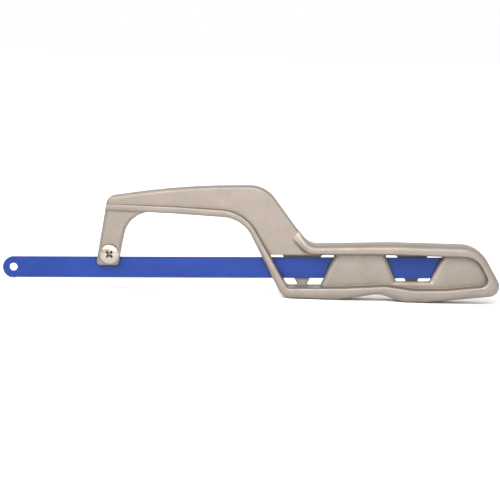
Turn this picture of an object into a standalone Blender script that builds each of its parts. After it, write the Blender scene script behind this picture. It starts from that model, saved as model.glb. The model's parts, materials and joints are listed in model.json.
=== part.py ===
"""Mini hacksaw: a one-piece die-cast frame holding a 12-inch blade that is pinched at the leg.

Sizes are in millimetres in the saw's own axes. x runs along the blade from its tip towards the
handle, z rises from the blade's centreline, and y goes away from the side the screw head is on.
MM turns them into Blender's metres. The whole saw hangs from one empty, which tilts it so that
it stands on the two lobes under its handle.
"""

import math

import bmesh
import bpy
from mathutils import Matrix, Vector

MM = 0.001
FIT_GAP = 0.3

# Blade: a common 300 mm blade, measured between its two pin holes.
BLADE_HOLE_SPACING = 300.0
BLADE_HOLE_INSET = 7.0
BLADE_LENGTH = BLADE_HOLE_SPACING + 2 * BLADE_HOLE_INSET
BLADE_TOP = 6.9
BLADE_BOTTOM = -7.3
BLADE_THICKNESS = 0.65
BLADE_HOLE_RADIUS = 2.5

# Frame casting.
PLATE_HALF_DEPTH = 4.8
PLATE_BEVEL = 1.2
RIM_INSET = 0.4
CREST_AT_BOW = 5.9
CREST_AT_NECK = 7.4
CREST_AT_HANDLE = 10.5
CREST_FADED = 4.5
FADE_SLOPE = 0.6
EDGE_FLAT_SHARE = 0.5
EDGE_BELOW_FACE = 0.2
CROWN_POWER_OUTSIDE = 2.6
CROWN_POWER_INSIDE = 6.0
CROWN_DRAFT = 0.12
CROWN_STEPS = 10
CHANNEL_HALF_WIDTH = 1.4
CHANNEL_CLEARANCE = 1.1
WINDOW_CHAMFER = 1.9
WINDOW_CHAMFER_DEPTH = 1.2

# The two lobes under the handle touch one straight floor line.
FLOOR_TILT = math.radians(1.83)
FRONT_FOOT_X = 182.0
FRONT_FOOT_Z = -19.15

# Clamp at the leg: M4 screw above the blade, plate and nut behind it.
SCREW_X = 69.85
SCREW_RADIUS = 2.0
SCREW_Z = BLADE_TOP + SCREW_RADIUS + FIT_GAP
SCREW_HEAD_RADIUS = 6.4
SCREW_HEAD_RIM = 0.8
SCREW_HEAD_HEIGHT = 2.9
SCREW_REACH = 9.6
RECESS_SPAN = 5.9
RECESS_WIDTH = 1.6
RECESS_DEPTH = 2.4
LAP_TOP = 16.8
LAP_FACE = -BLADE_THICKNESS / 2 - FIT_GAP
JAW_FACE = BLADE_THICKNESS / 2 + FIT_GAP
JAW_BACK = 5.8
HEEL_BOTTOM = 12.7
NUT_ACROSS_FLATS = 7.0
NUT_POCKET_FLOOR = 3.1
NUT_THICKNESS = 3.2

ARC_STEP = math.radians(12)
ARC_CHORD = 12.0
CREST_STEPS = 5


def floor_z(x):
    """Height of the floor line under the saw at x."""
    return FRONT_FOOT_Z - math.tan(FLOOR_TILT) * (x - FRONT_FOOT_X)


def arc_steps(before, corner, after, radius):
    """How many straight pieces the arc of this radius at a corner is made of."""
    turn = (corner - before).angle(after - corner)
    return max(2, math.ceil(turn / ARC_STEP), math.ceil(turn * radius / ARC_CHORD))


def fillet(before, corner, after, radius, steps):
    """Points of the arc of this radius that rounds the corner."""
    incoming = (corner - before).normalized()
    outgoing = (after - corner).normalized()
    turn = incoming.angle(outgoing)
    reach = radius * math.tan(turn / 2)
    start = corner - incoming * reach
    side = (outgoing - incoming * incoming.dot(outgoing)).normalized()
    points = []
    for step in range(steps + 1):
        angle = turn * step / steps
        along = incoming * radius * math.sin(angle)
        points.append(start + along + side * radius * (1 - math.cos(angle)))
    return points


def rounded_outline(corners):
    """Closed outline through (x, z, radius) corners; radius 0 leaves a sharp corner."""
    places = [Vector(corner[:2]) for corner in corners]
    points = []
    for index, corner in enumerate(corners):
        before = places[index - 1]
        after = places[(index + 1) % len(places)]
        if corner[2] == 0:
            points.append(places[index])
            continue
        steps = arc_steps(before, places[index], after, corner[2])
        points += fillet(before, places[index], after, corner[2], steps)
    return points


def add_object(name, bm, material=None):
    """Turn a bmesh in millimetres into a closed mesh object in metres."""
    bmesh.ops.remove_doubles(bm, verts=bm.verts, dist=0.002)
    bmesh.ops.recalc_face_normals(bm, faces=bm.faces)
    bmesh.ops.scale(bm, vec=(MM, MM, MM), verts=bm.verts)
    mesh = bpy.data.meshes.new(name)
    bm.to_mesh(mesh)
    bm.free()
    piece = bpy.data.objects.new(name, mesh)
    bpy.context.scene.collection.objects.link(piece)
    if material:
        mesh.materials.append(material)
    return piece


def stack(name, sections, material=None):
    """Closed solid through outlines of equal length, each given as (y, outline)."""
    bm = bmesh.new()
    rings = []
    for y, outline in sections:
        rings.append([bm.verts.new((point[0], y, point[1])) for point in outline])
    join_rings(bm, rings)
    return add_object(name, bm, material)


def join_rings(bm, rings):
    """Skin the rings one after another and close both ends; the two end faces are returned."""
    count = len(rings[0])
    for ring, following in zip(rings, rings[1:], strict=False):
        for index in range(count):
            other = (index + 1) % count
            bm.faces.new((ring[index], ring[other], following[other], following[index]))
    return bm.faces.new(rings[0]), bm.faces.new(rings[-1])


def prism(name, outline, y_near, y_far, material=None):
    """Solid between the same outline at y_near and at y_far."""
    return stack(name, ((y_near, outline), (y_far, outline)), material)


def turned(name, profile, centre_x, centre_z, segments, material=None):
    """Solid of revolution about the line along y; profile holds (radius, y) from end to end."""
    bm = bmesh.new()
    rings = []
    for radius, y in profile:
        ring = []
        for index in range(segments):
            angle = 2 * math.pi * index / segments
            x = centre_x + radius * math.cos(angle)
            z = centre_z + radius * math.sin(angle)
            ring.append(bm.verts.new((x, y, z)))
        rings.append(ring)
    join_rings(bm, rings)
    return add_object(name, bm, material)


def combine(body, tools, operation):
    """Join the tools to the body or cut them from it, and drop the tools."""
    for tool in tools:
        modifier = body.modifiers.new(tool.name, "BOOLEAN")
        modifier.operation = operation
        modifier.solver = "EXACT"
        modifier.object = tool
    bpy.context.view_layer.update()
    graph = bpy.context.evaluated_depsgraph_get()
    mesh = bpy.data.meshes.new_from_object(body.evaluated_get(graph))
    body.modifiers.clear()
    body.data = mesh
    mesh.name = body.name
    for tool in tools:
        bpy.data.objects.remove(tool)


def smooth(piece, angle=28):
    """Shade smoothly except over edges sharper than the angle in degrees."""
    for polygon in piece.data.polygons:
        polygon.use_smooth = True
    piece.data.set_sharp_from_angle(angle=math.radians(angle))


def principled(name, colour, roughness, metallic):
    """A material slot's own Principled BSDF."""
    material = bpy.data.materials.new(name)
    material.use_nodes = True
    shader = material.node_tree.nodes["Principled BSDF"]
    shader.inputs["Base Color"].default_value = (*colour, 1)
    shader.inputs["Roughness"].default_value = roughness
    shader.inputs["Metallic"].default_value = metallic
    return material


def rim_corners():
    """Corners of the rim: outer edge, inner edge, and how far its crest stands from mid-depth.

    The rim starts as a rib on the leg, follows the underside of the arm and the neck, goes round
    the handle and fades out on the outer side of the neck.
    """
    bow, neck, handle = CREST_AT_BOW, CREST_AT_NECK, CREST_AT_HANDLE
    return (
        ((66.9, 38.1, 0), (67.7, 41.9, 0), bow),
        ((156.0, 32.3, 22), (157.0, 37.2, 27), neck),
        ((FRONT_FOOT_X, FRONT_FOOT_Z, 9.0), (185.3, -12.1, 3), handle),
        ((218.0, floor_z(218.0), 30), (222.5, -12.0, 25), handle),
        ((244.6, -16.3, 19), (249.0, -10.7, 19), handle),
        ((259.9, floor_z(259.9), 10), (268.0, -14.0, 12), handle),
        ((273.0, floor_z(273.0), 30), (290.0, -13.2, 42), handle),
        ((326.9, -17.2, 6.8), (316.9, -10.5, 4.4), handle),
        ((309.2, 15.0, 20), (307.2, 7.8, 13), handle),
        ((252.0, 16.5, 318), (253.1, 9.6, 318), handle),
        ((199.1, 15.5, 12), (197.0, 9.8, 13), handle),
        ((192.3, 24.6, 0), (187.2, 20.9, 0), CREST_FADED),
    )


def rim_stations():
    """Outer point, inner point and crest at each cross-section along the rim."""
    corners = rim_corners()
    outer = [Vector(corner[0][:2]) for corner in corners]
    inner = [Vector(corner[1][:2]) for corner in corners]
    groups = [[(outer[0], inner[0], corners[0][2])]]
    for index in range(1, len(corners) - 1):
        outer_three = outer[index - 1 : index + 2]
        inner_three = inner[index - 1 : index + 2]
        steps = arc_steps(*outer_three, corners[index][0][2])
        outer_arc = fillet(*outer_three, corners[index][0][2], steps)
        inner_arc = fillet(*inner_three, corners[index][1][2], steps)
        crest = corners[index][2]
        groups.append([(a, b, crest) for a, b in zip(outer_arc, inner_arc, strict=True)])
    groups.append([(outer[-1], inner[-1], corners[-1][2])])
    stations = list(groups[0])
    for group in groups[1:]:
        start, end = stations[-1], group[0]
        if start[2] != end[2]:
            for step in range(1, CREST_STEPS):
                share = step / CREST_STEPS
                eased = share * share * (3 - 2 * share)
                crest = start[2] + (end[2] - start[2]) * eased
                stations.append((start[0].lerp(end[0], share), start[1].lerp(end[1], share), crest))
        stations += group
    return fade_end(stations)


def fade_end(stations):
    """Let the crest climb no faster than the fade's slope from the rim's last cross-section."""
    faded = []
    distance = 0.0
    following = stations[-1][0]
    for outer, inner, crest in reversed(stations):
        distance += (outer - following).length
        following = outer
        faded.append((outer, inner, min(crest, CREST_FADED + FADE_SLOPE * distance)))
    return faded[::-1]


def crown_section(crest):
    """Half of the rim's cross-section: (share of the way inwards, distance from mid-depth)."""
    flat = max(crest * EDGE_FLAT_SHARE, min(crest - 0.8, PLATE_HALF_DEPTH - EDGE_BELOW_FACE))
    points = []
    for step in range(CROWN_STEPS + 1):
        angle = math.pi * step / CROWN_STEPS
        power = CROWN_POWER_OUTSIDE if 2 * step < CROWN_STEPS else CROWN_POWER_INSIDE
        rise = math.sin(angle) ** (2 / power) if 0 < step < CROWN_STEPS else 0
        swing = abs(math.cos(angle)) ** (2 / power)
        across = (1 - math.copysign(swing, math.cos(angle))) / 2
        across += CROWN_DRAFT * (1 - across) * rise
        points.append((across, flat + (crest - flat) * rise))
    return points


def rim():
    """The raised rim as one closed tube along its stations."""
    bm = bmesh.new()
    rings = []
    for outer, inner, crest in rim_stations():
        half = crown_section(crest)
        loop = [(across, -depth) for across, depth in half]
        loop += [(across, depth) for across, depth in reversed(half)]
        ring = []
        for across, y in loop:
            place = outer.lerp(inner, across)
            ring.append(bm.verts.new((place.x, y, place.y)))
        rings.append(ring)
    join_rings(bm, rings)
    return add_object("rim", bm)


def plate(material):
    """Leg, arm, neck and handle web as one bevelled plate, set just inside the rim's edge."""
    inset = RIM_INSET
    outline = rounded_outline(
        (
            (60.7, 1.6, 2.6),
            (68.5, 46.5, 6),
            (117.6, 53.4, 481),
            (170.8, 53.7, 20),
            (198.8, 15.5 - inset, 12),
            (252.0, 16.5 - inset, 318),
            (309.0, 15.0 - inset, 19.8),
            (326.3, -17.2 + inset, 6.4),
            (273.0, floor_z(273.0) + inset, 30),
            (260.1, floor_z(260.1) + inset, 10),
            (244.6, -16.3 + inset, 19),
            (217.9, floor_z(217.9) + inset, 30),
            (182.3, floor_z(182.3) + inset, 8.6),
            (156.3, 32.3 + inset, 22.8),
            (81.9, 37.0 + inset, 18.5),
            (75.4, 1.6, 2.6),
        )
    )
    bm = bmesh.new()
    half = PLATE_HALF_DEPTH
    near = [bm.verts.new((point.x, -half, point.y)) for point in outline]
    far = [bm.verts.new((point.x, half, point.y)) for point in outline]
    caps = join_rings(bm, (near, far))
    edges = [edge for cap in caps for edge in cap.edges]
    bmesh.ops.bevel(bm, geom=edges, offset=PLATE_BEVEL, segments=2, profile=0.5, affect="EDGES")
    return add_object("frame", bm, material)


def channel_cutter():
    """Slot for the blade through the neck and the handle, ending in the rim as the blade's stop."""
    half = BLADE_TOP + CHANNEL_CLEARANCE
    end = BLADE_LENGTH + FIT_GAP
    outline = rounded_outline(
        ((150, -half, 0), (end, -half, half * 0.98), (end, half, half * 0.98), (150, half, 0))
    )
    return prism("channel", outline, -CHANNEL_HALF_WIDTH, CHANNEL_HALF_WIDTH)


def window_cutter(name, corners, chamfers, side):
    """Opening through one face of the handle, as far as the channel's other wall.

    chamfers says how far each corner moves in x and z over the chamfer at the plate's face.
    """
    reach = CREST_AT_HANDLE + 2
    outer = []
    for corner, chamfer in zip(corners, chamfers, strict=True):
        outer.append((corner[0] + chamfer[0], corner[1] + chamfer[1]))
    sections = (
        (0.05 - CHANNEL_HALF_WIDTH, corners),
        (PLATE_HALF_DEPTH - WINDOW_CHAMFER_DEPTH, corners),
        (PLATE_HALF_DEPTH + 0.02, outer),
        (reach, outer),
    )
    return stack(name, [(side * y, outline) for y, outline in sections])


def front_windows():
    """The two openings on the screw's side that show the blade."""
    c = WINDOW_CHAMFER
    first = ((173.8, 8.8), (216.2, 8.8), (205.6, -12.1), (185.4, -12.1))
    second = ((247.6, 8.9), (286.4, 8.0), (277.6, -8.4), (255.1, -8.4))
    return [
        window_cutter("window_1", first, ((0, 0), (c, 0), (c, 0), (0, 0)), -1),
        window_cutter("window_2", second, ((-c, 0), (c, 0), (c, -0.8 * c), (-c, -0.8 * c)), -1),
    ]


def back_windows():
    """The three openings on the far side, which leave two bridges behind the front windows."""
    none = (0, 0)
    neck = ((173.6, 8.9), (181.4, 8.9), (192.0, -11.6), (184.8, -11.6))
    middle = (
        (208.3, 8.9),
        (255.9, 8.9),
        (262.3, -9.7),
        (243.5, -9.7),
        (220.2, -11.3),
        (197.6, -11.6),
    )
    rear = rounded_outline(
        ((276.8, 8.3, 0), (305.4, 7.3, 12), (315.0, -9.6, 4), (269.8, -9.7, 0))
    )
    return [
        window_cutter("back_neck", neck, (none,) * len(neck), 1),
        window_cutter("back_middle", middle, (none,) * len(middle), 1),
        window_cutter("back_rear", rear, (none,) * len(rear), 1),
    ]


def leg_cutters():
    """Half-lap behind the leg's foot for the clamp plate, and the screw's clearance hole."""
    lap = ((54, -10), (88, -10), (88, LAP_TOP), (54, LAP_TOP))
    hole = ((SCREW_RADIUS + FIT_GAP, -12), (SCREW_RADIUS + FIT_GAP, 12))
    return [
        prism("lap", lap, LAP_FACE, 12),
        turned("screw_hole", hole, SCREW_X, SCREW_Z, 32),
    ]


def build_frame():
    """The casting: plate and rim joined, then channel, windows, lap and hole cut out."""
    frame = plate(principled("cast_aluminium", (0.56, 0.52, 0.46), 0.42, 1.0))
    combine(frame, [rim()], "UNION")
    tools = [channel_cutter(), *front_windows(), *back_windows()]
    combine(frame, tools + leg_cutters(), "DIFFERENCE")
    smooth(frame)
    return frame


def build_blade():
    """Blade with fully rounded ends and a pin hole near each."""
    end_round = (BLADE_TOP - BLADE_BOTTOM) / 2 * 0.98
    outline = rounded_outline(
        (
            (0, BLADE_BOTTOM, end_round),
            (0, BLADE_TOP, end_round),
            (BLADE_LENGTH, BLADE_TOP, end_round),
            (BLADE_LENGTH, BLADE_BOTTOM, end_round),
        )
    )
    half = BLADE_THICKNESS / 2
    material = principled("blue_enamel", (0.05, 0.1, 0.42), 0.35, 0.0)
    blade = prism("blade", outline, -half, half, material=material)
    profile = ((BLADE_HOLE_RADIUS, -2), (BLADE_HOLE_RADIUS, 2))
    holes = []
    for x in (BLADE_HOLE_INSET, BLADE_LENGTH - BLADE_HOLE_INSET):
        holes.append(turned("pin_hole", profile, x, 0, 24))
    combine(blade, holes, "DIFFERENCE")
    smooth(blade)
    return blade


def build_screw():
    """M4 screw with a domed head and a cross recess, its shank above the blade."""
    seat = -PLATE_HALF_DEPTH - FIT_GAP
    profile = [(SCREW_RADIUS - 0.4, SCREW_REACH), (SCREW_RADIUS, SCREW_REACH - 0.4)]
    profile += [(SCREW_RADIUS, seat), (SCREW_HEAD_RADIUS, seat)]
    dome = SCREW_HEAD_HEIGHT - SCREW_HEAD_RIM
    for step in range(8):
        angle = math.pi / 2 * step / 8
        radius = SCREW_HEAD_RADIUS * math.cos(angle)
        profile.append((radius, seat - SCREW_HEAD_RIM - dome * math.sin(angle)))
    material = principled("plated_steel", (0.62, 0.58, 0.52), 0.25, 1.0)
    screw = turned("clamp_screw", profile, SCREW_X, SCREW_Z, 48, material)
    top = seat - SCREW_HEAD_HEIGHT
    arms = []
    for turn in (math.radians(45), math.radians(135)):
        wide = recess_outline(1.0, turn)
        narrow = recess_outline(0.45, turn)
        arms.append(stack("recess", ((top - 1, wide), (top, wide), (top + RECESS_DEPTH, narrow))))
    combine(screw, arms, "DIFFERENCE")
    smooth(screw)
    return screw


def recess_outline(scale, turn):
    """One arm of the cross recess as a rectangle about the screw's axis."""
    half_span = RECESS_SPAN / 2 * scale
    half_width = RECESS_WIDTH / 2 * scale
    spin = Matrix.Rotation(turn, 2)
    outline = []
    for u, v in ((-1, -1), (1, -1), (1, 1), (-1, 1)):
        corner = spin @ Vector((u * half_span, v * half_width))
        outline.append((SCREW_X + corner.x, SCREW_Z + corner.y))
    return outline


def hexagon(across_flats):
    """Hexagon about the screw's axis with two flats upright."""
    corner = across_flats / 2 / math.cos(math.pi / 6)
    outline = []
    for index in range(6):
        angle = math.pi / 6 + math.pi / 3 * index
        outline.append((SCREW_X + corner * math.cos(angle), SCREW_Z + corner * math.sin(angle)))
    return outline


def build_clamp_plate():
    """Plate behind the leg: its heel bears on the leg and its lower end pinches the blade."""
    corners = ((60.9, -3.0, 1.5), (64.2, 16.2, 1.2), (76.9, 16.2, 1.2), (73.9, -3.0, 1.5))
    material = principled("plated_plate", (0.6, 0.58, 0.54), 0.35, 1.0)
    heel_face = -BLADE_THICKNESS / 2
    clamp = prism("clamp_plate", rounded_outline(corners), heel_face, JAW_BACK, material=material)
    relief = ((54, -10), (84, -10), (84, HEEL_BOTTOM), (54, HEEL_BOTTOM))
    bore = ((SCREW_RADIUS + FIT_GAP, -4), (SCREW_RADIUS + FIT_GAP, 12))
    tools = [
        prism("relief", relief, -4, JAW_FACE),
        turned("bore", bore, SCREW_X, SCREW_Z, 32),
        prism("pocket", hexagon(NUT_ACROSS_FLATS + 2.4 * FIT_GAP), NUT_POCKET_FLOOR, 12),
    ]
    combine(clamp, tools, "DIFFERENCE")
    smooth(clamp)
    return clamp


def build_nut():
    """M4 hexagon nut, which the pocket in the clamp plate keeps from turning."""
    near = NUT_POCKET_FLOOR + FIT_GAP
    material = principled("plated_nut", (0.6, 0.58, 0.54), 0.3, 1.0)
    nut = prism(
        "clamp_nut", hexagon(NUT_ACROSS_FLATS), near, near + NUT_THICKNESS, material=material
    )
    bore = ((SCREW_RADIUS + FIT_GAP, -4), (SCREW_RADIUS + FIT_GAP, 12))
    combine(nut, [turned("nut_bore", bore, SCREW_X, SCREW_Z, 32)], "DIFFERENCE")
    smooth(nut)
    return nut


def put_origin(piece, x, z):
    """Move a piece's origin onto the line along y through (x, z) without moving the piece."""
    shift = Vector((x, 0, z)) * MM
    piece.data.transform(Matrix.Translation(-shift))
    piece.location = shift


def stand(saw, pieces):
    """Tilt the saw onto its two lobes and centre its bounding box over the world origin."""
    saw.rotation_euler = (0, -FLOOR_TILT, 0)
    for piece in pieces:
        piece.parent = saw
    bpy.context.view_layer.update()
    corners = []
    for piece in pieces:
        corners += [piece.matrix_world @ vertex.co for vertex in piece.data.vertices]
    low = [min(corner[axis] for corner in corners) for axis in range(3)]
    high = [max(corner[axis] for corner in corners) for axis in range(3)]
    saw.location = (-(low[0] + high[0]) / 2, -(low[1] + high[1]) / 2, -low[2])
    bpy.context.view_layer.update()


def build_hacksaw():
    """Clear the scene and build every piece of the saw in its resting place."""
    for leftover in list(bpy.data.objects):
        bpy.data.objects.remove(leftover)
    frame = build_frame()
    blade = build_blade()
    screw = build_screw()
    clamp = build_clamp_plate()
    nut = build_nut()
    for piece in (screw, clamp, nut):
        put_origin(piece, SCREW_X, SCREW_Z)
    saw = bpy.data.objects.new("saw", None)
    bpy.context.scene.collection.objects.link(saw)
    stand(saw, [frame, blade, screw, clamp, nut])


build_hacksaw()
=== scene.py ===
"""Looks of the mini hacksaw: cast frame, enamelled blade, plated screw, clamp plate and nut.

Sizes are in millimetres in the saw's own axes, as in its CAD: x runs along the blade from its tip,
z rises from the blade's centreline and y goes away from the screw's head. saw_to_world() takes
them to the row frame, from the places of the screw and of the blade's slide in the record.
"""

import json
import math

import bmesh
import bpy
from mathutils import Matrix, Vector


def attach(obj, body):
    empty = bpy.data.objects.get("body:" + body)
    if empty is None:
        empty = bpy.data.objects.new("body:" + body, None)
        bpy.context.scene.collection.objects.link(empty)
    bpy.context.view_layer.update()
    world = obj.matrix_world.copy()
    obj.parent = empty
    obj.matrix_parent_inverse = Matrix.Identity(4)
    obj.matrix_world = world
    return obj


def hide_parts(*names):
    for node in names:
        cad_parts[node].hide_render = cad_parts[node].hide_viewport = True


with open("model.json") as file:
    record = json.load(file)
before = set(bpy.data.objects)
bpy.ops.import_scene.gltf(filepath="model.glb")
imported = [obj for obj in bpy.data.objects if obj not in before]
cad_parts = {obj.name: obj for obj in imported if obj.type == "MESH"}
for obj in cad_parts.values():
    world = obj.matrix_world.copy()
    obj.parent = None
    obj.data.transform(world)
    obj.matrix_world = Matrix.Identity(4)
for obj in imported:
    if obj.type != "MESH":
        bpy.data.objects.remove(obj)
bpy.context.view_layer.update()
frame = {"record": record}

MM = 0.001
FIT_GAP = 0.3

# Blade.
BLADE_HOLE_INSET = 7.0
BLADE_LENGTH = 300.0 + 2 * BLADE_HOLE_INSET
BLADE_TOP = 6.9
BLADE_BOTTOM = -7.3
BLADE_HALF_THICKNESS = 0.325
BLADE_HOLE_RADIUS = 2.5
TOOTH_PITCH = 25.4 / 18
TOOTH_DEPTH = 0.7
TOOTH_SET = 0.22
TOOTH_FACE_SHARE = 0.18
TOOTHED_END_MARGIN = 9.0
BLADE_END_STEPS = 12
BLADE_TOP_ROUND = 0.12
BARE_BACK = 0.13
BARE_TEETH = 0.6

# Casting.
PLATE_HALF_DEPTH = 4.8
PLATE_CHAMFER_DEPTH = 1.5
PLATE_CHAMFER = 1.3
PLATE_CHAMFER_GAIN_AT_LEG = 0.8
PLATE_CHAMFER_GAIN_START = 150.0
PLATE_CHAMFER_GAIN_LENGTH = 80.0
RIM_INSET = 0.4
CREST_AT_BOW = 5.9
CREST_AT_NECK = 7.4
CREST_AT_HANDLE = 10.5
CREST_FADED = 4.5
FADE_SLOPE = 0.5
EDGE_FLAT_SHARE = 0.5
EDGE_BELOW_FACE = 0.2
CROWN_LEAST_RISE = 0.8
CROWN_POWER_OUTSIDE = 2.6
CROWN_POWER_INSIDE = 6.0
CROWN_DRAFT = 0.12
CROWN_STEPS = 18
CHANNEL_HALF_WIDTH = 1.4
CHANNEL_CLEARANCE = 1.1
CHANNEL_START = 150
CHANNEL_END_ROUND = 0.98
CUT_OVERLAP = 0.05
FACE_OVERLAP = 0.02
WINDOW_CHAMFER = 1.9
WINDOW_CHAMFER_DEPTH = 1.2
WINDOW_DRAFT = 1.0
CAST_VOXEL = 0.42
CAST_SMOOTHING = 4
FLOOR_TILT = math.radians(1.83)
FRONT_FOOT_X = 182.0
FRONT_FOOT_Z = -19.15

# Clamp.
SCREW_X = 69.85
SCREW_RADIUS = 2.0
SCREW_PITCH = 0.7
SCREW_Z = BLADE_TOP + SCREW_RADIUS + FIT_GAP
SCREW_HEAD_RADIUS = 6.4
SCREW_HEAD_RIM = 0.8
SCREW_HEAD_HEIGHT = 2.9
SCREW_HEAD_EDGE = 0.25
SCREW_HEAD_OVERLAP = 0.5
DOME_SWEEP = math.radians(87)
DOME_STEPS = 20
SCREW_CORE_RADIUS = 1.7
SCREW_REACH = 9.6
THREAD_DEPTH = 0.43
THREAD_STEPS = 8
THREAD_END_TAPER = 0.3
THREAD_END_STEPS = 6
RECESS_SPAN = 5.9
RECESS_WIDTH = 1.6
RECESS_DEPTH = 2.4
RECESS_FLOOR_SHARE = 0.45
LAP_TOP = 16.8
JAW_BACK = 5.8
HEEL_BOTTOM = 12.7
NUT_ACROSS_FLATS = 7.0
NUT_POCKET_FLOOR = 3.1
NUT_THICKNESS = 3.2
NUT_FACE_SHARE = 0.97
NUT_CORNER_DROP = 0.4
NUT_MOUTH = 0.35
NUT_GROOVE = 0.18
CLAMP_VOXEL = 0.2
CLAMP_SMOOTHING = 3

# How finely curves are drawn.
ARC_STEP = math.radians(4)
ARC_CHORD = 4.0
CREST_STEPS = 16

# Camera and floor.
CAMERA_DISTANCE = 1.3
CAMERA_ELEVATION = math.radians(7)
CAMERA_ROLL = math.radians(2.01)
CAMERA_TARGET = (160.8, 0.0, 11.4)
VIEW_WIDTH = 0.325
FLOOR_HALF_WIDTH = 6

# Light: a sky that is brightest high on the left in front, a weak sun, and one soft box in front.
SKY_BRIGHTEST = (-0.48, -0.64, 0.6)
SKY_STOPS = (
    (0.0, 0.5),
    (0.36, 1.6),
    (0.6, 1.35),
    (0.74, 0.75),
    (0.82, 0.65),
    (0.93, 1.05),
    (0.975, 1.3),
    (1.0, 9.0),
)
SUN_TOWARDS = (0.2, 0.7, -0.68)
SUN_STRENGTH = 1.5
SUN_ANGLE = math.radians(30)
KEY_PLACE = (0.03, -0.32, 0.21)
KEY_AIM = (0.0, 0.0, 0.03)
KEY_SIZE = 0.28
KEY_POWER = 0.95


# ---------------------------------------------------------------- shapes in the saw's own axes


def saw_to_world():
    """Matrix from millimetres in the saw's axes to metres in the row frame."""
    joints = {joint["name"]: joint for joint in frame["record"]["behaviour"]["joints"]}
    forward = -Vector(joints["blade_slide"]["axis"]).normalized()
    away = Vector((0, 1, 0))
    up = forward.cross(away)
    turn = Matrix((forward, away, up)).transposed().to_4x4()
    screw = Vector(joints["screw_turn"]["pos_m"])
    origin = screw - turn @ Vector((SCREW_X * MM, 0, SCREW_Z * MM))
    return Matrix.Translation(origin) @ turn @ Matrix.Scale(MM, 4)


def floor_z(x):
    """Height of the floor line under the saw at x."""
    return FRONT_FOOT_Z - math.tan(FLOOR_TILT) * (x - FRONT_FOOT_X)


def arc_steps(before, corner, after, radius):
    """How many straight pieces the arc of this radius at a corner is made of."""
    turn = (corner - before).angle(after - corner)
    return max(2, math.ceil(turn / ARC_STEP), math.ceil(turn * radius / ARC_CHORD))


def fillet(before, corner, after, radius, steps):
    """Points of the arc of this radius that rounds the corner."""
    incoming = (corner - before).normalized()
    outgoing = (after - corner).normalized()
    turn = incoming.angle(outgoing)
    start = corner - incoming * radius * math.tan(turn / 2)
    side = (outgoing - incoming * incoming.dot(outgoing)).normalized()
    points = []
    for step in range(steps + 1):
        angle = turn * step / steps
        along = incoming * radius * math.sin(angle)
        points.append(start + along + side * radius * (1 - math.cos(angle)))
    return points


def rounded_outline(corners):
    """Closed outline through (x, z, radius) corners; radius 0 leaves a sharp corner."""
    places = [Vector(corner[:2]) for corner in corners]
    points = []
    for index, corner in enumerate(corners):
        before = places[index - 1]
        after = places[(index + 1) % len(places)]
        if corner[2] == 0:
            points.append(places[index])
            continue
        steps = arc_steps(before, places[index], after, corner[2])
        points += fillet(before, places[index], after, corner[2], steps)
    return points


def add_object(name, bm):
    """Turn a bmesh into a closed mesh object, still in millimetres."""
    bmesh.ops.remove_doubles(bm, verts=bm.verts, dist=0.002)
    bmesh.ops.recalc_face_normals(bm, faces=bm.faces)
    mesh = bpy.data.meshes.new(name)
    bm.to_mesh(mesh)
    bm.free()
    piece = bpy.data.objects.new(name, mesh)
    bpy.context.scene.collection.objects.link(piece)
    return piece


def join_rings(bm, rings):
    """Skin the rings one after another and close both ends."""
    count = len(rings[0])
    for ring, following in zip(rings, rings[1:], strict=False):
        for index in range(count):
            other = (index + 1) % count
            bm.faces.new((ring[index], ring[other], following[other], following[index]))
    bm.faces.new(rings[0])
    bm.faces.new(rings[-1])


def stack(name, sections):
    """Closed solid through outlines of equal length, each given as (y, outline)."""
    bm = bmesh.new()
    rings = []
    for y, outline in sections:
        rings.append([bm.verts.new((point[0], y, point[1])) for point in outline])
    join_rings(bm, rings)
    return add_object(name, bm)


def prism(name, outline, y_near, y_far):
    """Solid between the same outline at y_near and at y_far."""
    return stack(name, ((y_near, outline), (y_far, outline)))


def turned(name, profile, centre_x, centre_z, segments):
    """Solid of revolution about the line along y; profile holds (radius, y) from end to end."""
    bm = bmesh.new()
    rings = []
    for radius, y in profile:
        ring = []
        for index in range(segments):
            angle = 2 * math.pi * index / segments
            x = centre_x + radius * math.cos(angle)
            z = centre_z + radius * math.sin(angle)
            ring.append(bm.verts.new((x, y, z)))
        rings.append(ring)
    join_rings(bm, rings)
    return add_object(name, bm)


def bake_modifiers(piece):
    """Replace the piece's mesh by what its modifiers make of it."""
    bpy.context.view_layer.update()
    graph = bpy.context.evaluated_depsgraph_get()
    mesh = bpy.data.meshes.new_from_object(piece.evaluated_get(graph))
    piece.modifiers.clear()
    piece.data = mesh


def combine(body, tools, operation):
    """Join the tools to the body or cut them from it, and drop the tools."""
    for tool in tools:
        modifier = body.modifiers.new(tool.name, "BOOLEAN")
        modifier.operation = operation
        modifier.solver = "EXACT"
        modifier.object = tool
    bake_modifiers(body)
    for tool in tools:
        bpy.data.objects.remove(tool)


def soften(piece, voxel, iterations):
    """Give every edge and crease the small round of a casting."""
    remesh = piece.modifiers.new("remesh", "REMESH")
    remesh.mode = "VOXEL"
    remesh.voxel_size = voxel
    smooth = piece.modifiers.new("smooth", "SMOOTH")
    smooth.factor = 0.5
    smooth.iterations = iterations
    bake_modifiers(piece)


def round_edges(piece, width, segments, angle):
    """Bevel the edges of a formed piece that are sharper than the angle in degrees."""
    bevel = piece.modifiers.new("bevel", "BEVEL")
    bevel.width = width
    bevel.segments = segments
    bevel.limit_method = "ANGLE"
    bevel.angle_limit = math.radians(angle)
    bake_modifiers(piece)


# ---------------------------------------------------------------- casting


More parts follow.
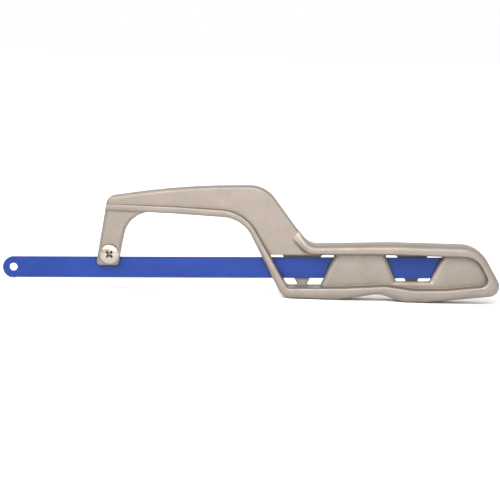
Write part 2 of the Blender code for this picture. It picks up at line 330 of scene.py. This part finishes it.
def rim_corners():
    """Corners of the rim: outer edge, inner edge, and how far its crest stands from mid-depth."""
    bow, neck, handle = CREST_AT_BOW, CREST_AT_NECK, CREST_AT_HANDLE
    return (
        ((66.9, 37.6, 0), (67.7, 41.6, 0), bow),
        ((112.0, 35.4, 200), (112.0, 40.1, 200), (bow + neck) / 2),
        ((156.0, 32.3, 22), (157.0, 37.2, 27), neck),
        ((FRONT_FOOT_X, FRONT_FOOT_Z, 9.0), (185.3, -12.1, 3), handle),
        ((218.0, floor_z(218.0), 30), (222.5, -12.0, 25), handle),
        ((244.6, -16.3, 19), (249.0, -10.7, 19), handle),
        ((259.9, floor_z(259.9), 10), (268.0, -13.5, 12), handle),
        ((273.0, floor_z(273.0), 30), (290.0, -13.2, 42), handle),
        ((326.9, -17.2, 6.8), (316.9, -10.5, 4.4), handle),
        ((309.2, 15.0, 20), (307.2, 7.8, 13), handle),
        ((252.0, 16.5, 318), (253.1, 9.6, 318), handle),
        ((199.1, 15.5, 12), (197.0, 9.8, 13), handle),
        ((192.3, 24.6, 0), (187.2, 20.9, 0), CREST_FADED),
    )


def rim_stations():
    """Outer point, inner point and crest at each cross-section along the rim."""
    corners = rim_corners()
    outer = [Vector(corner[0][:2]) for corner in corners]
    inner = [Vector(corner[1][:2]) for corner in corners]
    groups = [[(outer[0], inner[0], corners[0][2])]]
    for index in range(1, len(corners) - 1):
        outer_three = outer[index - 1 : index + 2]
        inner_three = inner[index - 1 : index + 2]
        steps = arc_steps(*outer_three, corners[index][0][2])
        outer_arc = fillet(*outer_three, corners[index][0][2], steps)
        inner_arc = fillet(*inner_three, corners[index][1][2], steps)
        crest = corners[index][2]
        groups.append([(a, b, crest) for a, b in zip(outer_arc, inner_arc, strict=True)])
    groups.append([(outer[-1], inner[-1], corners[-1][2])])
    stations = list(groups[0])
    for group in groups[1:]:
        start, end = stations[-1], group[0]
        if start[2] != end[2]:
            for step in range(1, CREST_STEPS):
                share = step / CREST_STEPS
                eased = share * share * (3 - 2 * share)
                crest = start[2] + (end[2] - start[2]) * eased
                stations.append((start[0].lerp(end[0], share), start[1].lerp(end[1], share), crest))
        stations += group
    return fade_end(stations)


def fade_end(stations):
    """Let the crest climb no faster than the fade's slope from the rim's last cross-section."""
    faded = []
    distance = 0.0
    following = stations[-1][0]
    for outer, inner, crest in reversed(stations):
        distance += (outer - following).length
        following = outer
        faded.append((outer, inner, min(crest, CREST_FADED + FADE_SLOPE * distance)))
    return faded[::-1]


def crown_section(crest):
    """Half of the rim's cross-section: (share of the way inwards, distance from mid-depth)."""
    below_face = min(crest - CROWN_LEAST_RISE, PLATE_HALF_DEPTH - EDGE_BELOW_FACE)
    flat = max(crest * EDGE_FLAT_SHARE, below_face)
    points = []
    for step in range(CROWN_STEPS + 1):
        angle = math.pi * step / CROWN_STEPS
        power = CROWN_POWER_OUTSIDE if 2 * step < CROWN_STEPS else CROWN_POWER_INSIDE
        rise = math.sin(angle) ** (2 / power) if 0 < step < CROWN_STEPS else 0
        swing = abs(math.cos(angle)) ** (2 / power)
        across = (1 - math.copysign(swing, math.cos(angle))) / 2
        across += CROWN_DRAFT * (1 - across) * rise
        points.append((across, flat + (crest - flat) * rise))
    return points


def rim():
    """The raised rim as one closed tube along its stations."""
    bm = bmesh.new()
    rings = []
    for outer, inner, crest in rim_stations():
        half = crown_section(crest)
        loop = [(across, -depth) for across, depth in half]
        loop += [(across, depth) for across, depth in reversed(half)]
        ring = []
        for across, y in loop:
            place = outer.lerp(inner, across)
            ring.append(bm.verts.new((place.x, y, place.y)))
        rings.append(ring)
    join_rings(bm, rings)
    return add_object("rim", bm)


def edge_chamfer(x):
    """How wide the chamfer along the plate's edge is at x: widest over the leg."""
    near_leg = (PLATE_CHAMFER_GAIN_START - x) / PLATE_CHAMFER_GAIN_LENGTH
    return PLATE_CHAMFER + PLATE_CHAMFER_GAIN_AT_LEG * max(0.0, min(1.0, near_leg))


def inward_normals(outline):
    """Unit vectors pointing into the outline at each of its points."""
    area = 0.0
    for point, following in zip(outline, outline[1:] + outline[:1], strict=True):
        area += point.cross(following)
    sign = 1 if area > 0 else -1
    normals = []
    for index, point in enumerate(outline):
        along = outline[(index + 1) % len(outline)] - outline[index - 1]
        normals.append(Vector((-along.y, along.x)).normalized() * sign)
    return normals


def plate():
    """Leg, arm, neck and handle web as one plate with chamfered edges, just inside the rim."""
    inset = RIM_INSET
    outline = rounded_outline(
        (
            (60.7, 1.6, 2.6),
            (68.5, 46.5, 6),
            (117.6, 53.4, 481),
            (170.8, 53.7, 20),
            (198.8, 15.5 - inset, 12),
            (252.0, 16.5 - inset, 318),
            (309.0, 15.0 - inset, 19.8),
            (326.3, -17.2 + inset, 6.4),
            (273.0, floor_z(273.0) + inset, 30),
            (260.1, floor_z(260.1) + inset, 10),
            (244.6, -16.3 + inset, 19),
            (217.9, floor_z(217.9) + inset, 30),
            (182.3, floor_z(182.3) + inset, 8.6),
            (156.3, 32.3 + inset, 22.8),
            (82.1, 37.0 + inset, 18.5),
            (75.4, 1.6, 2.6),
        )
    )
    normals = inward_normals(outline)
    face = []
    for point, normal in zip(outline, normals, strict=True):
        face.append(point + normal * edge_chamfer(point.x))
    edge = PLATE_HALF_DEPTH - PLATE_CHAMFER_DEPTH
    sections = (
        (-PLATE_HALF_DEPTH, face),
        (-edge, outline),
        (edge, outline),
        (PLATE_HALF_DEPTH, face),
    )
    return stack("cast_frame", sections)


def window_cutter(name, corners, drafts, chamfers, side):
    """Opening through one face of the handle as far as the channel's other wall."""
    reach = CREST_AT_HANDLE + 2
    inner = [(x + draft, z) for (x, z), draft in zip(corners, drafts, strict=True)]
    outer = [(x + across, z + up) for (x, z), (across, up) in zip(corners, chamfers, strict=True)]
    wall = CHANNEL_HALF_WIDTH - CUT_OVERLAP
    sections = (
        (-wall, inner),
        (wall, inner),
        (PLATE_HALF_DEPTH - WINDOW_CHAMFER_DEPTH, corners),
        (PLATE_HALF_DEPTH + FACE_OVERLAP, outer),
        (reach, outer),
    )
    return stack(name, [(side * y, outline) for y, outline in sections])


def front_windows():
    """The two openings on the front; their side walls have draft and a chamfer except at the rim."""
    draft = WINDOW_DRAFT
    wide = WINDOW_CHAMFER
    low = -0.8 * WINDOW_CHAMFER
    first = ((173.8, 8.8), (216.5, 8.7), (206.7, -12.1), (185.0, -12.1))
    first_drafts = (0, -draft, -draft, 0)
    first_chamfers = ((0, 0), (wide, 0), (wide, 0), (0, 0))
    second = ((248.0, 8.7), (286.5, 7.8), (278.0, -8.4), (255.0, -8.4))
    second_drafts = (draft, -draft, -draft, draft)
    second_chamfers = ((-wide, 0), (wide, 0), (wide, low), (-wide, low))
    return [
        window_cutter("window_1", first, first_drafts, first_chamfers, -1),
        window_cutter("window_2", second, second_drafts, second_chamfers, -1),
    ]


def back_windows():
    """The three openings on the back, with straight walls."""
    neck = ((173.6, 8.9), (181.4, 8.9), (192.0, -11.6), (184.8, -11.6))
    middle = (
        (208.3, 8.9),
        (255.9, 8.9),
        (262.3, -9.4),
        (243.5, -9.4),
        (220.2, -11.3),
        (197.6, -11.6),
    )
    rear = rounded_outline(((276.8, 8.3, 0), (305.4, 7.3, 12), (315.0, -9.3, 4), (269.8, -9.4, 0)))
    cutters = []
    for name, corners in (("back_neck", neck), ("back_middle", middle), ("back_rear", rear)):
        straight = [0] * len(corners)
        square = [(0, 0)] * len(corners)
        cutters.append(window_cutter(name, corners, straight, square, 1))
    return cutters


def casting_cutters():
    """Blade channel, windows on both sides, half-lap behind the leg and the screw's hole."""
    start = CHANNEL_START
    end = BLADE_LENGTH + FIT_GAP
    half = BLADE_TOP + CHANNEL_CLEARANCE
    radius = half * CHANNEL_END_ROUND
    channel = rounded_outline(
        ((start, -half, 0), (end, -half, radius), (end, half, radius), (start, half, 0))
    )
    lap = ((54, -10), (88, -10), (88, LAP_TOP), (54, LAP_TOP))
    hole = ((SCREW_RADIUS + FIT_GAP, -12), (SCREW_RADIUS + FIT_GAP, 12))
    cutters = [prism("channel", channel, -CHANNEL_HALF_WIDTH, CHANNEL_HALF_WIDTH)]
    cutters += front_windows()
    cutters += back_windows()
    cutters.append(prism("lap", lap, -BLADE_HALF_THICKNESS - FIT_GAP, 12))
    cutters.append(turned("screw_hole", hole, SCREW_X, SCREW_Z, 32))
    return cutters


def make_casting():
    """The cast frame with every edge and crease softly rounded."""
    casting = plate()
    combine(casting, [rim()], "UNION")
    combine(casting, casting_cutters(), "DIFFERENCE")
    soften(casting, CAST_VOXEL, CAST_SMOOTHING)
    return casting


# ---------------------------------------------------------------- blade


def blade_columns():
    """x of each column of the blade's mesh, with whether it is a tooth's tip."""
    columns = []
    radius = (BLADE_TOP - BLADE_BOTTOM) / 2
    for step in range(BLADE_END_STEPS + 1):
        angle = math.pi / 2 * step / BLADE_END_STEPS
        columns.append((radius * (1 - math.cos(angle)), False))
    teeth = int((BLADE_LENGTH - 2 * TOOTHED_END_MARGIN) / TOOTH_PITCH)
    first = (BLADE_LENGTH - teeth * TOOTH_PITCH) / 2
    for tooth in range(teeth):
        start = first + tooth * TOOTH_PITCH
        columns.append((start, False))
        columns.append((start + TOOTH_PITCH * TOOTH_FACE_SHARE, True))
    columns.append((first + teeth * TOOTH_PITCH, False))
    for step in range(BLADE_END_STEPS + 1):
        angle = math.pi / 2 * step / BLADE_END_STEPS
        columns.append((BLADE_LENGTH - radius + radius * math.sin(angle), False))
    return columns


def blade_rows(x, tip, tooth):
    """(z, y of the front face, y of the back face) up the blade at one column."""
    radius = (BLADE_TOP - BLADE_BOTTOM) / 2
    middle = (BLADE_TOP + BLADE_BOTTOM) / 2
    reach = min(x, BLADE_LENGTH - x)
    height = radius
    if reach < radius:
        height = math.sqrt(max(radius**2 - (radius - reach) ** 2, 0.0004))
    bottom = -height
    lean = 0.0
    if reach >= TOOTHED_END_MARGIN:
        bottom = -radius if tip else -radius + TOOTH_DEPTH
        lean = TOOTH_SET * (1 if tooth % 2 else -1) if tip else 0.0
    half = BLADE_HALF_THICKNESS
    edge = half * 0.8
    back = half * 0.6
    above_teeth = max(-radius + 1.0, -height * 0.9)
    below_back = height - min(BLADE_TOP_ROUND, height * 0.1)
    return (
        (middle + bottom, lean - edge, lean + edge),
        (middle + above_teeth, -half, half),
        (middle + height * 0.25, -half, half),
        (middle + below_back, -half, half),
        (middle + height, -back, back),
    )


def make_blade():
    """Blade with set teeth along its lower edge, rounded ends and a pin hole near each."""
    bm = bmesh.new()
    rings = []
    tooth = 0
    for x, tip in blade_columns():
        tooth += tip
        rows = blade_rows(x, tip, tooth)
        ring = [bm.verts.new((x, front, z)) for z, front, _ in rows]
        ring += [bm.verts.new((x, back, z)) for z, _, back in reversed(rows)]
        rings.append(ring)
    join_rings(bm, rings)
    blade = add_object("blade_detailed", bm)
    profile = ((BLADE_HOLE_RADIUS, -2), (BLADE_HOLE_RADIUS, 2))
    holes = []
    for x in (BLADE_HOLE_INSET, BLADE_LENGTH - BLADE_HOLE_INSET):
        holes.append(turned("pin_hole", profile, x, 0, 48))
    combine(blade, holes, "DIFFERENCE")
    return blade


# ---------------------------------------------------------------- clamp


def recess_outline(scale, turn):
    """One arm of the cross recess as a rectangle about the screw's axis."""
    half_span = RECESS_SPAN / 2 * scale
    half_width = RECESS_WIDTH / 2 * scale
    spin = Matrix.Rotation(turn, 2)
    outline = []
    for u, v in ((-1, -1), (1, -1), (1, 1), (-1, 1)):
        corner = spin @ Vector((u * half_span, v * half_width))
        outline.append((SCREW_X + corner.x, SCREW_Z + corner.y))
    return outline


def screw_head():
    """Domed head with a rolled rim and a cross recess that narrows as it goes down."""
    seat = -PLATE_HALF_DEPTH - FIT_GAP
    dome = SCREW_HEAD_HEIGHT - SCREW_HEAD_RIM
    profile = [(SCREW_CORE_RADIUS, seat + SCREW_HEAD_OVERLAP), (SCREW_CORE_RADIUS, seat)]
    profile.append((SCREW_HEAD_RADIUS - SCREW_HEAD_EDGE, seat))
    profile.append((SCREW_HEAD_RADIUS, seat - SCREW_HEAD_EDGE))
    for step in range(DOME_STEPS + 1):
        angle = DOME_SWEEP * step / DOME_STEPS
        radius = SCREW_HEAD_RADIUS * math.cos(angle)
        profile.append((radius, seat - SCREW_HEAD_RIM - dome * math.sin(angle)))
    head = turned("screw_head", profile, SCREW_X, SCREW_Z, 72)
    top = seat - SCREW_HEAD_HEIGHT
    arms = []
    for turn in (math.radians(45), math.radians(135)):
        wide = recess_outline(1.0, turn)
        narrow = recess_outline(RECESS_FLOOR_SHARE, turn)
        sections = ((top - 1, wide), (top + 0.1, wide), (top + RECESS_DEPTH, narrow))
        arms.append(stack("arm", sections))
    combine(head, arms, "DIFFERENCE")
    round_edges(head, 0.12, 2, 35)
    return head


def screw_shank():
    """Shank with the helix of its thread running out at both ends."""
    bm = bmesh.new()
    start = -PLATE_HALF_DEPTH + 0.1
    segments = 36
    count = int((SCREW_REACH - start) / SCREW_PITCH * THREAD_STEPS)
    rings = []
    for index in range(count + 1):
        y = start + (SCREW_REACH - start) * index / count
        left = count - index
        fade = min(1.0, index / THREAD_STEPS, left / THREAD_STEPS)
        taper = THREAD_END_TAPER * max(0.0, 1 - left / THREAD_END_STEPS)
        ring = []
        for segment in range(segments):
            share = segment / segments
            phase = (y / SCREW_PITCH + share) % 1.0
            groove = THREAD_DEPTH * (1 - abs(2 * phase - 1)) * fade
            angle = 2 * math.pi * share
            radius = SCREW_RADIUS - (groove + taper)
            x = SCREW_X + radius * math.cos(angle)
            z = SCREW_Z + radius * math.sin(angle)
            ring.append(bm.verts.new((x, y, z)))
        rings.append(ring)
    join_rings(bm, rings)
    return add_object("screw_shank", bm)


def hexagon(across_flats):
    """Hexagon about the screw's axis with two flats upright."""
    corner = across_flats / 2 / math.cos(math.pi / 6)
    outline = []
    for index in range(6):
        angle = math.pi / 6 + math.pi / 3 * index
        outline.append((SCREW_X + corner * math.cos(angle), SCREW_Z + corner * math.sin(angle)))
    return outline


def make_clamp_plate():
    """Cast clamp plate: heel at the top, jaw at the bottom, pocket for the nut."""
    outline = rounded_outline(
        ((60.9, -3.0, 1.5), (64.2, 16.2, 1.2), (76.9, 16.2, 1.2), (73.9, -3.0, 1.5))
    )
    clamp = prism("clamp_plate_detailed", outline, -BLADE_HALF_THICKNESS, JAW_BACK)
    relief = ((54, -10), (84, -10), (84, HEEL_BOTTOM), (54, HEEL_BOTTOM))
    bore = ((SCREW_RADIUS + FIT_GAP, -4), (SCREW_RADIUS + FIT_GAP, 12))
    tools = [
        prism("relief", relief, -4, BLADE_HALF_THICKNESS + FIT_GAP),
        turned("bore", bore, SCREW_X, SCREW_Z, 48),
        prism("pocket", hexagon(NUT_ACROSS_FLATS + 2.4 * FIT_GAP), NUT_POCKET_FLOOR, 12),
    ]
    combine(clamp, tools, "DIFFERENCE")
    soften(clamp, CLAMP_VOXEL, CLAMP_SMOOTHING)
    return clamp


def make_nut():
    """Hexagon nut with chamfered corners and a bore grooved like its thread."""
    near = NUT_POCKET_FLOOR + FIT_GAP
    far = near + NUT_THICKNESS
    nut = prism("clamp_nut_detailed", hexagon(NUT_ACROSS_FLATS), near, far)
    flat = NUT_ACROSS_FLATS / 2 * NUT_FACE_SHARE
    corner = NUT_ACROSS_FLATS / 2 / math.cos(math.pi / 6) + 0.05
    drop = NUT_CORNER_DROP
    cone = ((flat, near), (corner, near + drop), (corner, far - drop), (flat, far))
    combine(nut, [turned("chamfer", cone, SCREW_X, SCREW_Z, 72)], "INTERSECT")
    radius = SCREW_RADIUS + FIT_GAP
    bore = [(radius + NUT_MOUTH, near - 0.1)]
    steps = int(NUT_THICKNESS / SCREW_PITCH * 2)
    for step in range(steps + 1):
        groove = NUT_GROOVE if step % 2 else 0.0
        bore.append((radius + groove, near + NUT_THICKNESS * step / steps))
    bore.append((radius + NUT_MOUTH, far + 0.1))
    combine(nut, [turned("nut_bore", bore, SCREW_X, SCREW_Z, 48)], "DIFFERENCE")
    return nut


# ---------------------------------------------------------------- materials


def new_material(name):
    """Principled material, with its node tree and its shader."""
    material = bpy.data.materials.new(name)
    material.use_nodes = True
    tree = material.node_tree
    return material, tree, tree.nodes["Principled BSDF"]


def noise(tree, scale, detail=3.0, stretch=(1, 1, 1)):
    """Noise in the object's own coordinates; scale is in cycles per metre."""
    coordinates = tree.nodes.new("ShaderNodeTexCoord")
    mapping = tree.nodes.new("ShaderNodeMapping")
    mapping.inputs["Scale"].default_value = stretch
    texture = tree.nodes.new("ShaderNodeTexNoise")
    texture.inputs["Scale"].default_value = scale
    texture.inputs["Detail"].default_value = detail
    tree.links.new(coordinates.outputs["Object"], mapping.inputs["Vector"])
    tree.links.new(mapping.outputs["Vector"], texture.inputs["Vector"])
    return texture.outputs["Fac"]


def ramp(tree, value, stops):
    """Colour ramp over value; stops are (position, colour or grey)."""
    node = tree.nodes.new("ShaderNodeValToRGB")
    elements = node.color_ramp.elements
    while len(elements) < len(stops):
        elements.new(0.5)
    for element, (position, colour) in zip(elements, stops, strict=True):
        element.position = position
        if isinstance(colour, float):
            colour = (colour, colour, colour)
        element.color = (*colour, 1)
    tree.links.new(value, node.inputs["Fac"])
    return node.outputs["Color"]


def mix(tree, kind, factor, first, second):
    """Mix two colours; factor is a number or a socket."""
    node = tree.nodes.new("ShaderNodeMix")
    node.data_type = "RGBA"
    node.blend_type = kind
    if isinstance(factor, float):
        node.inputs["Factor"].default_value = factor
    else:
        tree.links.new(factor, node.inputs["Factor"])
    for socket, colour in ((node.inputs["A"], first), (node.inputs["B"], second)):
        if isinstance(colour, tuple):
            socket.default_value = (*colour, 1)
        else:
            tree.links.new(colour, socket)
    return node.outputs["Result"]


def darken(tree, base, grey):
    """The base colour times a grey or a tint."""
    return mix(tree, "MULTIPLY", 1.0, base, grey)


def bump(tree, height, strength, distance, before=None):
    """Bump from a height, on top of an earlier bump."""
    node = tree.nodes.new("ShaderNodeBump")
    node.inputs["Strength"].default_value = strength
    node.inputs["Distance"].default_value = distance
    tree.links.new(height, node.inputs["Height"])
    if before:
        tree.links.new(before, node.inputs["Normal"])
    return node.outputs["Normal"]


def painted_shade_and_highlight_mask(tree):
    """Pointiness, the mask for painted shade in creases and a painted highlight on edges: black in
    creases, grey on flats, white on edges.
    """
    geometry = tree.nodes.new("ShaderNodeNewGeometry")
    return geometry.outputs["Pointiness"]


def occlusion(tree, distance, stops, own=False):
    """Painted shade: grey that falls off in creases narrower than the distance, only the piece's own
    if asked.
    """
    node = tree.nodes.new("ShaderNodeAmbientOcclusion")
    node.samples = 12
    node.only_local = own
    node.inputs["Distance"].default_value = distance
    return ramp(tree, node.outputs["AO"], stops)


def cast_material():
    """Tumbled die casting: warm satin metal, with painted shade in its creases and a faint painted
    highlight on its edges.
    """
    material, tree, shader = new_material("cast_aluminium_visual")
    patches = noise(tree, 70, 4)
    base = ramp(tree, patches, ((0.3, (0.24, 0.204, 0.175)), (0.7, (0.264, 0.226, 0.195))))
    grain = ramp(tree, noise(tree, 1500, 2), ((0.3, 0.9), (0.7, 1.0)))
    base = darken(tree, base, grain)
    streaks = ramp(tree, noise(tree, 900, 3, (0.3, 1, 1)), ((0.3, 0.94), (0.7, 1.0)))
    base = darken(tree, base, streaks)
    # Painted shade in creases and a faint painted highlight on sharp edges, from pointiness.
    crease = ramp(tree, painted_shade_and_highlight_mask(tree), ((0.42, 0.35), (0.485, 0.85), (0.5, 1.0), (0.6, 1.08)))
    base = darken(tree, base, crease)
    # Painted shade in creases narrower than 1.8 mm, from occlusion.
    occlusion_shade_stops = ((0.4, (0.2, 0.16, 0.13)), (0.8, (0.84, 0.81, 0.78)), (1.0, 1.0))
    occlusion_shade = occlusion(tree, 0.0018, occlusion_shade_stops, own=True)
    base = darken(tree, base, occlusion_shade)
    # Painted shade on the web near the tall rim walls, from occlusion within 5 mm.
    shade = occlusion(tree, 0.005, ((0.15, 0.5), (0.5, 0.82), (0.85, 1.0)), own=True)
    base = darken(tree, base, shade)
    tree.links.new(base, shader.inputs["Base Color"])
    roughness = ramp(tree, noise(tree, 160, 5), ((0.3, 0.48), (0.7, 0.6)))
    tree.links.new(roughness, shader.inputs["Roughness"])
    shader.inputs["Metallic"].default_value = 0.7
    skin = bump(tree, noise(tree, 900, 4), 0.35, 0.0002)
    drag = bump(tree, noise(tree, 700, 3, (0.35, 1, 1)), 0.12, 0.0002, skin)
    tree.links.new(drag, shader.inputs["Normal"])
    return material


def enamel_material():
    """Thin blue enamel on rolled steel strip, with painted shade where the handle closes in on it.
    """
    material, tree, shader = new_material("blue_enamel_visual")
    patches = noise(tree, 60, 3, (0.4, 1, 1))
    base = ramp(tree, patches, ((0.3, (0.002, 0.0215, 0.15)), (0.7, (0.004, 0.029, 0.185))))
    # Painted shade on the blade near the casting's walls, from occlusion.
    shade = occlusion(tree, 0.003, ((0.35, 0.3), (0.85, 1.0)))
    base = darken(tree, base, shade)
    tree.links.new(base, shader.inputs["Base Color"])
    roughness = ramp(tree, noise(tree, 200, 4), ((0.3, 0.34), (0.7, 0.46)))
    tree.links.new(roughness, shader.inputs["Roughness"])
    shader.inputs["Metallic"].default_value = 0.0
    shader.inputs["Specular IOR Level"].default_value = 0.3
    skin = bump(tree, noise(tree, 1400, 3, (0.05, 1, 1)), 0.25, 0.00008)
    tree.links.new(skin, shader.inputs["Normal"])
    return material


def bare_steel_material():
    """Dark ground steel where the enamel is worn off the teeth and the back edge."""
    material, tree, shader = new_material("bare_steel_visual")
    patches = noise(tree, 400, 4, (0.3, 1, 1))
    base = ramp(tree, patches, ((0.3, (0.075, 0.085, 0.14)), (0.7, (0.13, 0.14, 0.2))))
    tree.links.new(base, shader.inputs["Base Color"])
    roughness = ramp(tree, noise(tree, 700, 4), ((0.3, 0.35), (0.7, 0.5)))
    tree.links.new(roughness, shader.inputs["Roughness"])
    shader.inputs["Metallic"].default_value = 0.8
    return material


def plated_material(name, dark, light, rough):
    """Plated steel with faint clouding and fine scratches, and painted shade in its creases and
    recess.
    """
    material, tree, shader = new_material(name)
    base = ramp(tree, noise(tree, 250, 3), ((0.3, dark), (0.7, light)))
    # Painted shade in the creases, from pointiness.
    crease = ramp(tree, painted_shade_and_highlight_mask(tree), ((0.4, 0.35), (0.5, 1.0)))
    base = darken(tree, base, crease)
    # Painted shade in the cross recess and the creases, from occlusion.
    occlusion_shade = occlusion(tree, 0.0015, ((0.35, 0.12), (0.7, 0.7), (0.95, 1.0)))
    base = darken(tree, base, occlusion_shade)
    tree.links.new(base, shader.inputs["Base Color"])
    roughness = ramp(tree, noise(tree, 900, 4), ((0.3, rough), (0.7, rough + 0.12)))
    tree.links.new(roughness, shader.inputs["Roughness"])
    shader.inputs["Metallic"].default_value = 1.0
    skin = bump(tree, noise(tree, 2500, 3), 0.2, 0.00006)
    tree.links.new(skin, shader.inputs["Normal"])
    return material


# ---------------------------------------------------------------- putting it together


def place(piece, to_world, body, node, slot, angle):
    """Move a piece into the row frame, smooth it up to the angle, hang it on its body and hide the
    CAD piece it stands in for.
    """
    piece.data.transform(to_world)
    for polygon in piece.data.polygons:
        polygon.use_smooth = True
    piece.data.set_sharp_from_angle(angle=math.radians(angle))
    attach(piece, body)
    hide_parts(node)


def paint_blade(blade):
    """Blue enamel on the faces, bare steel along the teeth and the back edge."""
    blade.data.materials.append(enamel_material())
    blade.data.materials.append(bare_steel_material())
    for polygon in blade.data.polygons:
        z = polygon.center.z
        bare = z > BLADE_TOP - BARE_BACK or z < BLADE_BOTTOM + BARE_TEETH
        polygon.material_index = 1 if bare else 0


def make_saw():
    """Every detailed piece in its place."""
    to_world = saw_to_world()
    casting = make_casting()
    casting.data.materials.append(cast_material())
    place(casting, to_world, "frame", "frame", "cast_aluminium", 180)

    blade = make_blade()
    paint_blade(blade)
    place(blade, to_world, "blade", "blade", "blue_enamel", 25)

    plated = plated_material("plated_steel_visual", (0.38, 0.335, 0.275), (0.45, 0.4, 0.335), 0.2)
    for part in (screw_head(), screw_shank()):
        part.data.materials.append(plated)
        place(part, to_world, "screw", "clamp_screw", "plated_steel", 40)

    clamp = make_clamp_plate()
    zinc = plated_material("plated_plate_visual", (0.5, 0.48, 0.44), (0.62, 0.6, 0.56), 0.36)
    clamp.data.materials.append(zinc)
    place(clamp, to_world, "clamp", "clamp_plate", "plated_plate", 180)

    nut = make_nut()
    bright = plated_material("plated_nut_visual", (0.56, 0.54, 0.5), (0.7, 0.68, 0.63), 0.26)
    nut.data.materials.append(bright)
    place(nut, to_world, "clamp", "clamp_nut", "plated_nut", 30)


def make_floor():
    """Plain white floor that runs far past the view."""
    bm = bmesh.new()
    bmesh.ops.create_grid(bm, x_segments=1, y_segments=1, size=FLOOR_HALF_WIDTH)
    mesh = bpy.data.meshes.new("floor")
    bm.to_mesh(mesh)
    bm.free()
    floor = bpy.data.objects.new("floor", mesh)
    bpy.context.scene.collection.objects.link(floor)
    material, _, shader = new_material("floor_white")
    shader.inputs["Base Color"].default_value = (0.96, 0.96, 0.96, 1)
    shader.inputs["Roughness"].default_value = 0.9
    mesh.materials.append(material)


def add_light(name, kind, energy, place_at, towards):
    """Light at a place, shining in a direction."""
    light = bpy.data.lights.new(name, kind)
    light.energy = energy
    lamp = bpy.data.objects.new(name, light)
    lamp.location = place_at
    lamp.rotation_mode = "QUATERNION"
    lamp.rotation_quaternion = Vector(towards).to_track_quat("-Z", "Y")
    bpy.context.scene.collection.objects.link(lamp)
    return light


def make_lights():
    """Sky, sun and key light; the camera itself sees plain white behind the saw."""
    world = bpy.data.worlds.new("white")
    world.use_nodes = True
    tree = world.node_tree
    direction = tree.nodes.new("ShaderNodeTexCoord")
    facing = tree.nodes.new("ShaderNodeVectorMath")
    facing.operation = "DOT_PRODUCT"
    facing.inputs[1].default_value = SKY_BRIGHTEST
    tree.links.new(direction.outputs["Generated"], facing.inputs[0])
    share = tree.nodes.new("ShaderNodeMapRange")
    share.inputs["From Min"].default_value = -1.0
    tree.links.new(facing.outputs["Value"], share.inputs["Value"])
    sky = ramp(tree, share.outputs["Result"], SKY_STOPS)
    seen = tree.nodes.new("ShaderNodeLightPath")
    colour = mix(tree, "MIX", seen.outputs["Is Camera Ray"], sky, (1.0, 1.0, 1.0))
    background = tree.nodes["Background"]
    tree.links.new(colour, background.inputs["Color"])
    bpy.context.scene.world = world
    add_light("sun", "SUN", SUN_STRENGTH, (0, 0, 1), SUN_TOWARDS).angle = SUN_ANGLE
    reach = Vector(KEY_AIM) - Vector(KEY_PLACE)
    add_light("key", "AREA", KEY_POWER, KEY_PLACE, reach).size = KEY_SIZE


def make_camera(to_world):
    """Long lens a little above the saw, rolled so that the saw stands slightly askew."""
    target = to_world @ Vector(CAMERA_TARGET)
    forward = Vector((0, math.cos(CAMERA_ELEVATION), -math.sin(CAMERA_ELEVATION)))
    level_right = Vector((1, 0, 0))
    level_up = level_right.cross(forward)
    right = level_right * math.cos(CAMERA_ROLL) + level_up * math.sin(CAMERA_ROLL)
    up = right.cross(forward)
    turn = Matrix((right, up, -forward)).transposed()
    data = bpy.data.cameras.new("camera")
    data.sensor_width = 36
    data.lens = data.sensor_width * CAMERA_DISTANCE / VIEW_WIDTH
    data.clip_start = 0.05
    data.clip_end = 20
    camera = bpy.data.objects.new("camera", data)
    camera.matrix_world = Matrix.Translation(target - forward * CAMERA_DISTANCE) @ turn.to_4x4()
    bpy.context.scene.collection.objects.link(camera)
    bpy.context.scene.camera = camera


make_camera(saw_to_world())
make_saw()
make_floor()
make_lights()
bpy.context.scene.view_settings.view_transform = "Standard"
